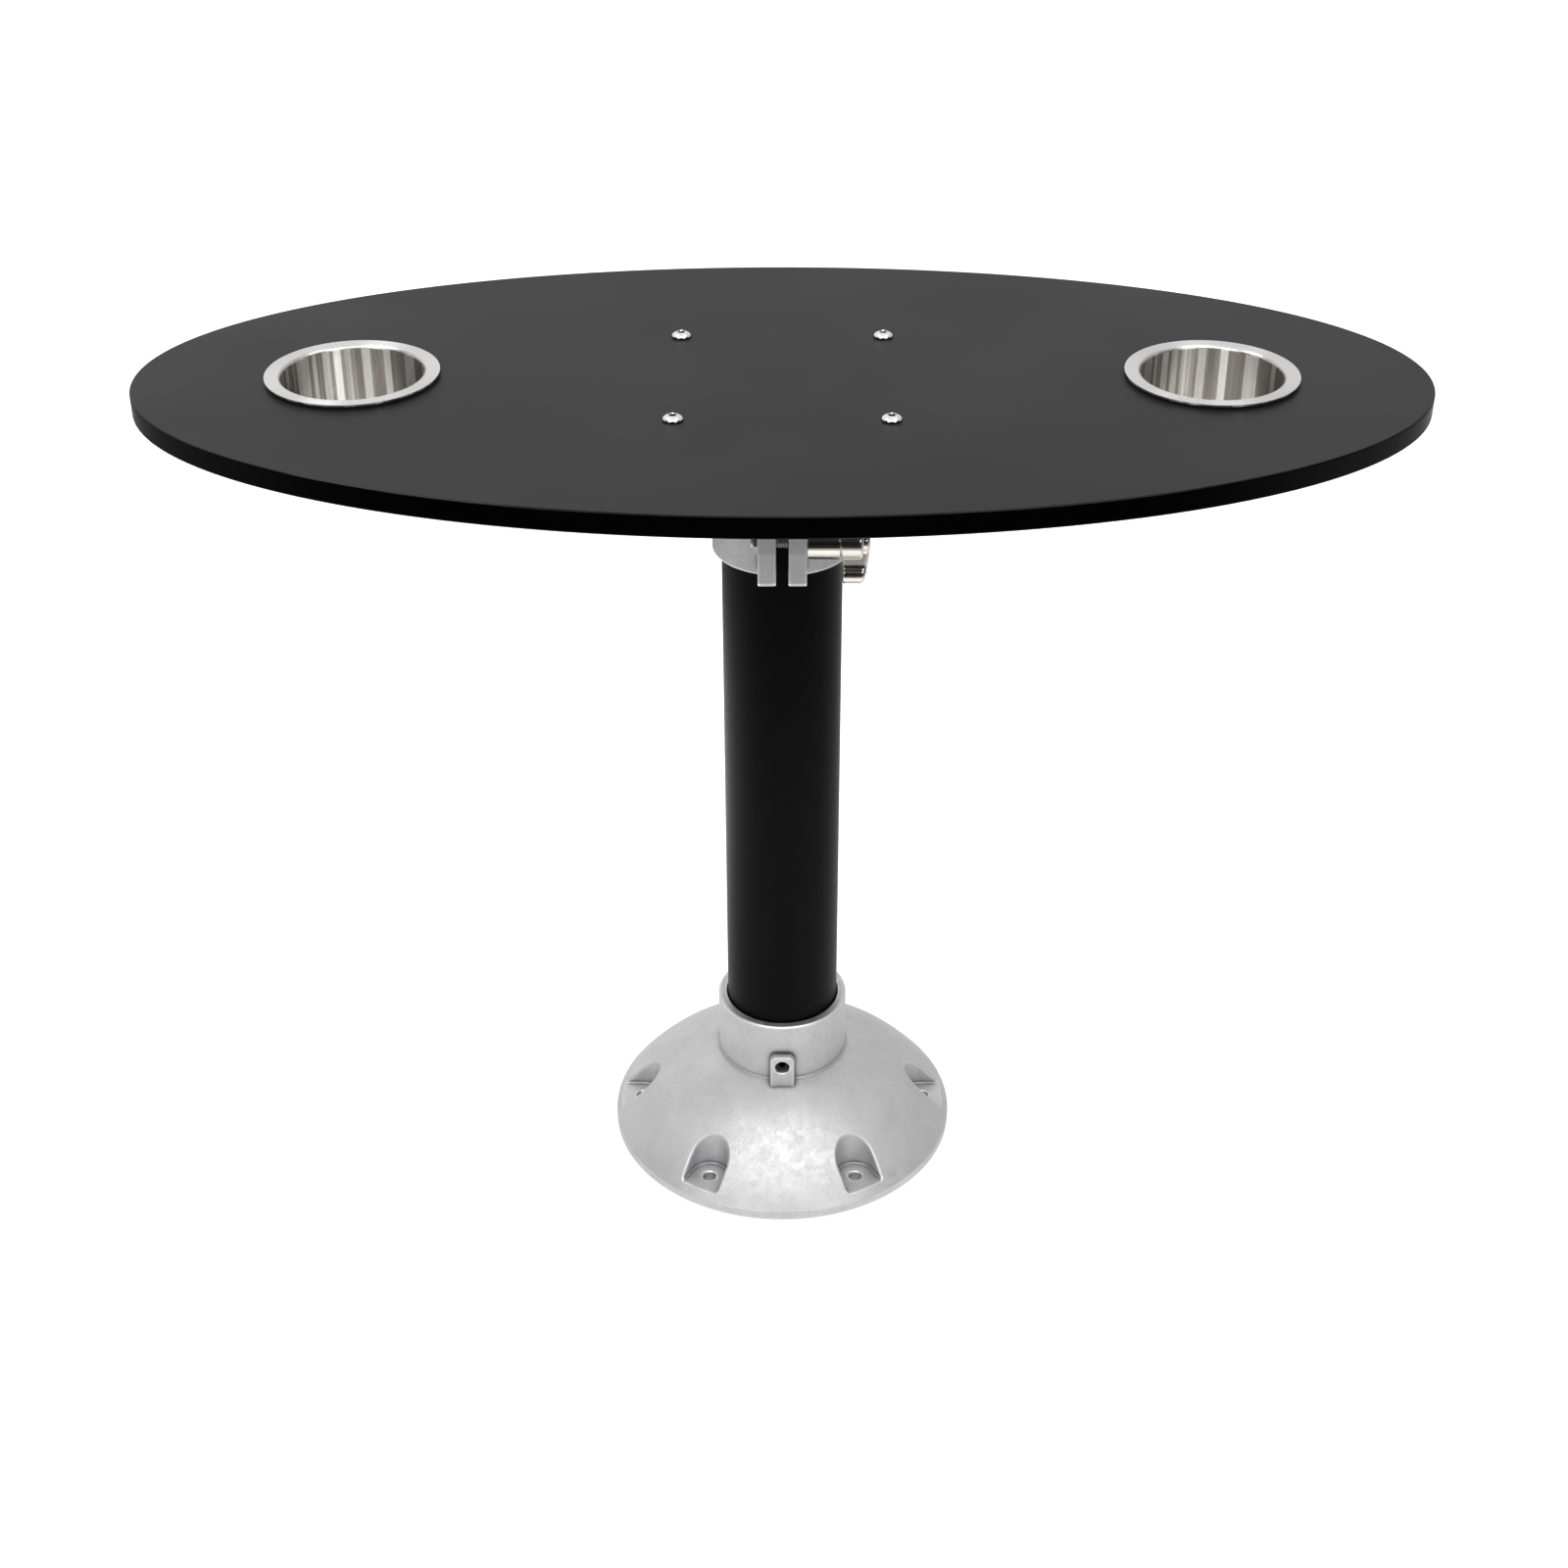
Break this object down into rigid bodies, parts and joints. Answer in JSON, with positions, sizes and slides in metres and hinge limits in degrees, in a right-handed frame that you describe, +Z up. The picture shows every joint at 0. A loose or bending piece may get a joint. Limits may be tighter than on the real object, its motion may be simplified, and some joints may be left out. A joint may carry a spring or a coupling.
{
  "type": "single pole camper table",
  "caption": "Oval camper table on a single round pole, with a domed screw-down base, a swivelling clamp head worked by a wing knob, and cup holders let into the top.",
  "frame": {"origin": "centre of the base's underside, on the pole's axis", "axes": "+Z up the pole, +X along the oval top's long axis, -Y the side with the clamp and the set screw"},
  "size_m": [0.745, 0.377, 0.5445],
  "materials": {
    "cast_aluminium": "satin, as cast",
    "pole_black": "satin powder coat",
    "board_black": "satin face, polished edge",
    "stainless": "brushed bright",
    "bright_nickel": "polished",
    "bright_steel": "polished",
    "zinc_steel": "zinc plated",
    "black_steel": "black oxide",
    "gasket_rubber": "matt",
    "nylon": "matt moulded"
  },
  "bodies": {
    "stand": {"base_casting": "cast_aluminium", "base_set_screw": "black_steel", "pole_tube": "pole_black"},
    "cap": {"bearing_cap": "nylon"},
    "table": {"head_casting": "cast_aluminium", "clamp_nut": "zinc_steel", "table_top": "board_black", "cup_holder_left": "stainless", "cup_holder_right": "stainless", "cup_gasket_left": "gasket_rubber", "cup_gasket_right": "gasket_rubber", "table_bolts": "bright_steel", "table_washers": "zinc_steel", "table_nuts": "zinc_steel"},
    "spacer": {"spacer_sleeve": "bright_nickel", "clamp_washer": "zinc_steel"},
    "knob": {"clamp_knob": "bright_nickel", "clamp_stud": "zinc_steel"}
  },
  "joints": [
    {"name": "table_swivel", "type": "hinge", "parent": "stand", "child": "cap", "pos_m": [0, 0, 0.5175], "axis": [0, 0, 1], "continuous": true},
    {"name": "table_lift", "type": "slide", "parent": "cap", "child": "table", "axis": [0, 0, 1], "range_m": [0, 0.1]},
    {"name": "knob_travel", "type": "slide", "parent": "table", "child": "spacer", "axis": [1, 0, 0], "range_m": [0, 0.00319]},
    {"name": "knob_turn", "type": "hinge", "parent": "spacer", "child": "knob", "pos_m": [0, -0.052, 0.4625], "axis": [1, 0, 0], "range_deg": [0, 720]}
  ],
  "couplings": [
    {"joint": "knob_travel", "follows": "knob_turn", "m_per_rad": 0.00025266}
  ]
}
